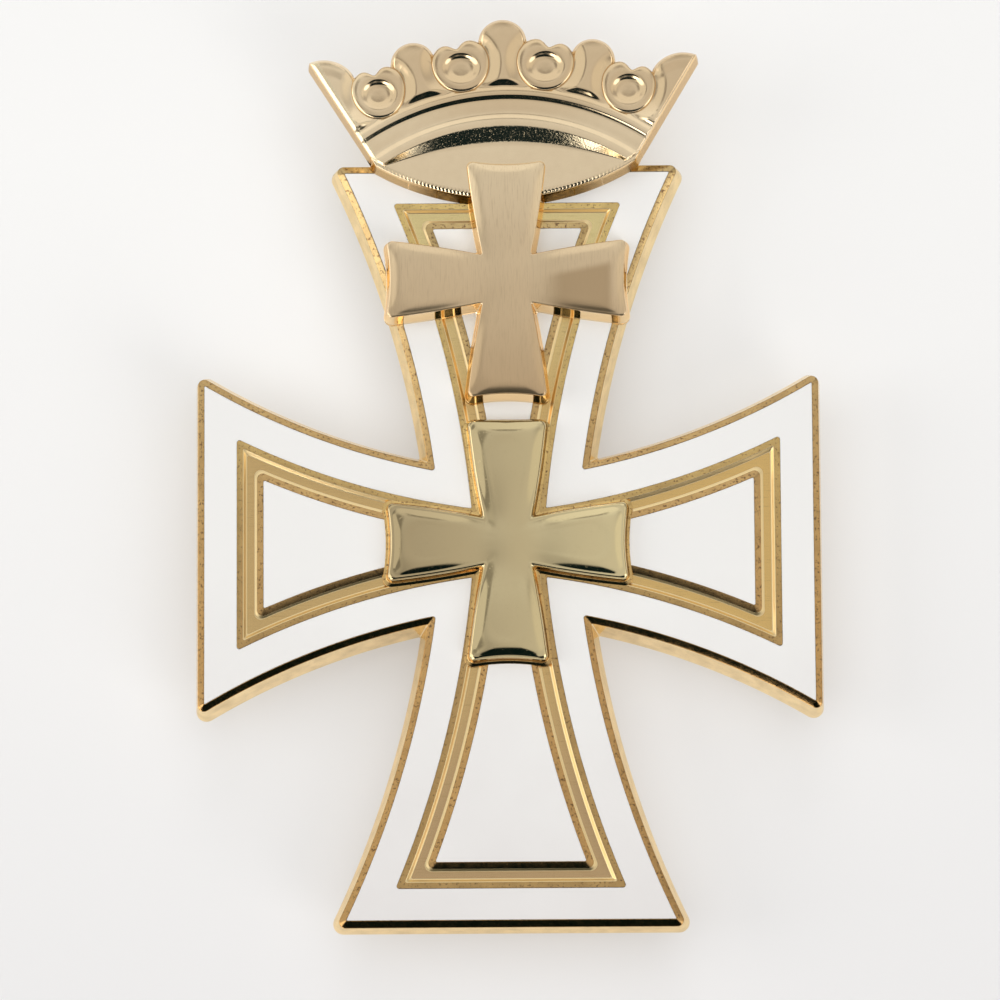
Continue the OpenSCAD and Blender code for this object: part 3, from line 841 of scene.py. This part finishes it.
# The walls go down from the face's edge, all round anticlockwise from the foot's left end. A
# narrow first row, just below the edge, keeps the face's shading off them.
edge_out, edge_down = 0.01, 0.04
crown_base_z = 0.02
points = on_crown(x, y, z).reshape(-1, 3)
count_rows, count_columns = x.shape
number = np.arange(count_rows * count_columns).reshape(x.shape)
rim = np.concatenate([number[0], number[1:, -1], number[-1, -2::-1], number[-2:0:-1, 0]])
edge_points = points[rim]
ahead_of = np.roll(edge_points, -1, 0) - np.roll(edge_points, 1, 0)
outwards = np.column_stack([ahead_of[:, 1], -ahead_of[:, 0]])
outwards /= np.maximum(np.hypot(*outwards.T), 1e-9)[:, None]
below_edge = edge_points + np.column_stack([outwards * edge_out, np.full(len(rim), -edge_down)])
flare = np.full(len(rim), left_flare)
right_from, top_from = count_columns, count_columns + count_rows - 2
flare[:right_from] = foot_flare
flare[right_from:top_from] = right_flare
flare[top_from:top_from + count_columns] = top_flare
flare = np.convolve(np.concatenate([flare[-3:], flare, flare[:3]]), np.ones(7) / 7, "valid")
base = np.column_stack([edge_points[:, :2] + outwards * flare[:, None],
                        np.full(len(rim), crown_base_z)])
loops = [rim, np.arange(len(rim)) + len(points) + len(rim), np.arange(len(rim)) + len(points)]
walls = [np.column_stack([high, low, np.roll(low, -1), np.roll(high, -1)])
         for high, low in zip(loops, loops[1:])]
faces = grid_faces(count_rows, count_columns) + np.concatenate(walls).tolist()
# The underside: a strip across under each ray, and one face at either end
low = np.arange(count_columns)
high = 2 * count_columns + count_rows - 3 - low
back = np.column_stack([low[:-1], high[:-1], high[1:], low[1:]])[1:-1] + len(points)
right_end = np.arange(count_columns - 2, count_columns + count_rows)
left_end = np.concatenate([[0, 1, high[1]], np.arange(high[0], len(rim))])
faces += back.tolist() + [(e + len(points))[::-1].tolist() for e in (right_end, left_end)]
# The slope and the left side are grained, the walls painted bright as a highlight, and the foot's wall
# painted dark as shade
slope_rows = slice(sum(count for _, count in anchors[:2]), sum(count for _, count in anchors[:3]))
finish_of = np.zeros((count_rows - 1, count_columns - 1), int)
finish_of[slope_rows] = 1
finish_of[:, :len(side_steps)] = 1
wall_finish = np.full(len(faces) - finish_of.size, 2)
wall_finish[len(rim):len(rim) + count_columns - 1] = 3
finish_of = np.concatenate([finish_of.ravel(), wall_finish])
crown = new_piece("champagne_crown", np.concatenate([points, base, below_edge]), faces,
                  [champagne, struck, wall_gilt_painted_bright, foot_wall_shade], finish_of)
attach(crown, "root")
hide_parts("crown")


# The pearls. Four dished rings of gilt metal, of the same strike as the crown and standing a
# little above it, each with a notched top and a round dimple.
# The dimple's radius, how tall it is for its width, and how much deeper at its top
dimple_r, dimple_tall, dimple_lean = 1.20, 0.86, 0.3
pearl_around = 120
# A pearl's profile as [share of the way from the dimple's edge to the outline, height], and
# then inside the dimple as [share of its radius, height]
ring_profile = [(1.0, 0.05), (1.0, 1.88), (0.985, 2.02), (0.94, 2.10), (0.85, 2.16), (0.70, 2.195),
                (0.45, 2.215), (0.22, 2.215), (0.08, 2.20), (0.0, 2.18)]
dimple_profile = [(0.93, 2.135), (0.86, 2.08), (0.78, 2.025), (0.68, 1.99), (0.50, 1.97),
                  (0.30, 1.965), (0.04, 1.965)]


def pearl(name, place, side):
    """A pearl by angle and profile, which runs from its outline to the dimple's edge and on to
    the middle. The left-hand ones are the mirror image of the right-hand ones."""
    pearl_x, pearl_y, wide = place
    angle = np.arange(pearl_around) * 2 * np.pi / pearl_around
    out = angle if side > 0 else np.pi - angle
    way = np.stack([np.cos(angle), np.sin(angle)])
    reach = pearl_reach(out)
    rim_of_dimple = dimple_r / np.sqrt(way[0]**2 + (way[1] / dimple_tall)**2)
    rings = [(rim_of_dimple + (reach - rim_of_dimple) * share, height) for share, height in ring_profile]
    rim_z = ring_profile[-1][1]
    rings += [(rim_of_dimple * share, rim_z + (height - rim_z) * (1 + dimple_lean * share * way[1]))
              for share, height in dimple_profile]
    placed = np.stack([on_crown(side * pearl_x + r * way[0] * wide, pearl_y + r * way[1], 0 * r + z)
                       for r, z in rings])
    piece = ring_mesh(name, placed, [champagne])
    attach(piece, "root")


for name, place in (("inner", inner_pearl), ("outer", outer_pearl)):
    for side, hand in ((-1, "left"), (1, "right")):
        pearl(f"{name}_pearl_{hand}", place, side)


# The brooch fitting on the back. A gilded brass strip is soldered to the plate: it carries a
# hinge of two lugs with a riveted barrel at the top, a long tapered pin, and a rolled hook
# below that catches the pin's point. The lugs and the hook are what the badge lies on.
back_z = -plate_t - 0.02
strip_t, strip_half_w = 0.7, 3.2
strip_ends = (-13.0, 19.0)
foot_z = -middle[2]
hinge_y, hinge_z = 17.0, -4.15
hook_y, hook_z, hook_r, hook_inner_r = (-13.0, -9.0), -4.36, 1.24, 0.70
lug_x = 2.6
pin_r, pin_tip_y = 0.5, -14.4

fitting_gilt = new_finish("fitting_gilt", Metallic=1.0, Roughness=0.26)
tree = fitting_gilt.node_tree
drawn = noise(tree, (8, 0.6, 8), 4, 0.6)
feed(tree, "Base Color", blend(tree, remap(tree, drawn, 0.3, 0.7), (0.80, 0.58, 0.25, 1),
                               (0.90, 0.68, 0.32, 1)))
feed(tree, "Roughness", remap(tree, noise(tree, (1.5, 1.5, 1.5)), 0.3, 0.7, 0.2, 0.36))
emboss(tree, drawn, 0.3, 0.01)


def fitting_piece(name, rings):
    """A piece of the fitting from its rings, gilded like the rest of it."""
    piece = ring_mesh(name, rings, [fitting_gilt])
    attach(piece, "root")
    return piece


def disc_rings(profile, count=40):
    """Circles about an axis, one for each (distance along it, radius) of a profile."""
    angle = np.arange(count) * 2 * np.pi / count
    return np.array([np.column_stack([r * np.cos(angle), r * np.sin(angle), 0 * angle + z])
                     for z, r in profile])


def strip_outline(inset):
    """The strip's outline, two straight sides between half circles, moved in by an inset."""
    turn = np.linspace(0, np.pi, 33)
    r = strip_half_w - inset
    low_end, top_end = strip_ends
    top = np.column_stack([r * np.cos(turn), top_end + r * np.sin(turn)])
    low = np.column_stack([-r * np.cos(turn), low_end - r * np.sin(turn)])
    return np.concatenate([top, low])


# Its edge as (inset, height), rounded away from the plate
strip_z = back_z - strip_t
strip_edge = [(0.12, strip_z), (0.03, strip_z + 0.04), (0.0, strip_z + 0.13), (0.0, back_z)]
rings = [np.column_stack([flat, np.full(len(flat), z)])
         for flat, z in ((strip_outline(inset), z) for inset, z in strip_edge)]
strip = fitting_piece("brooch_strip", np.array(rings))
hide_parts("brooch_pin")

# Lugs: a cheek with a round foot, swept across the strip
turn = np.linspace(-np.pi, 0, 25)
for hand, x in (("left", -lug_x), ("right", lug_x)):
    rings = []
    for offset, shrink in ((-0.5, 0.1), (-0.4, 0.0), (0.4, 0.0), (0.5, 0.1)):
        r = hinge_z - foot_z - shrink
        foot = np.column_stack([hinge_y + (r + 0.3) * np.cos(turn), hinge_z + r * np.sin(turn)])
        top = [(hinge_y + r + 0.6, strip_z), (hinge_y - r - 0.6, strip_z)]
        cheek = np.concatenate([foot, top])
        rings.append(np.column_stack([cheek, np.full(len(cheek), x + offset)]))
    fitting_piece(f"hinge_lug_{hand}", np.roll(np.array(rings), 1, axis=-1))

# The barrel between the lugs and its rivet's heads, as (distance from the middle, radius)
barrel_half = [(0.0, 1.28), (1.72, 1.28), (1.85, 1.22), (1.88, 0.5), (3.1, 0.5), (3.12, 0.75),
               (3.25, 0.73), (3.38, 0.60), (3.46, 0.38)]
barrel_profile = [(-z, r) for z, r in barrel_half[:0:-1]] + barrel_half
barrel = np.roll(disc_rings(barrel_profile), 1, axis=-1)
fitting_piece("hinge_barrel", barrel + (0, hinge_y, hinge_z))

# The pin thins to its point, and bows a little towards the badge
travel = np.concatenate([np.linspace(pin_tip_y, -8, 14), np.linspace(-7, hinge_y, 20)])
width = pin_r * smooth(travel, -16.5, -8.0)
pin = np.roll(disc_rings(np.column_stack([travel, width]), 24), -1, axis=-1)
share = ((travel - hinge_y) / (travel[0] - hinge_y))[:, None]
pin[..., 2] += hinge_z - 0.35 + 0.45 * share**0.8 - 0.3 * share**3
fitting_piece("brooch_needle", pin)

# The hook: a thick C whose mouth opens sideways
turn = np.radians(np.linspace(112, 395, 48))
curl = np.concatenate([np.column_stack([np.cos(turn), np.sin(turn)]) * hook_r,
                       np.column_stack([np.cos(turn), np.sin(turn)])[::-1] * hook_inner_r])
rings = [np.column_stack([hook_z + curl[:, 1] * k, curl[:, 0] * k, np.full(len(curl), y)])
         for y, k in ((hook_y[0], 0.97), (hook_y[0] + 0.08, 1.0),
                      (hook_y[1] - 0.08, 1.0), (hook_y[1], 0.97))]
hook = np.roll(np.array(rings)[:, ::-1], -1, axis=-1)
fitting_piece("pin_hook", hook)
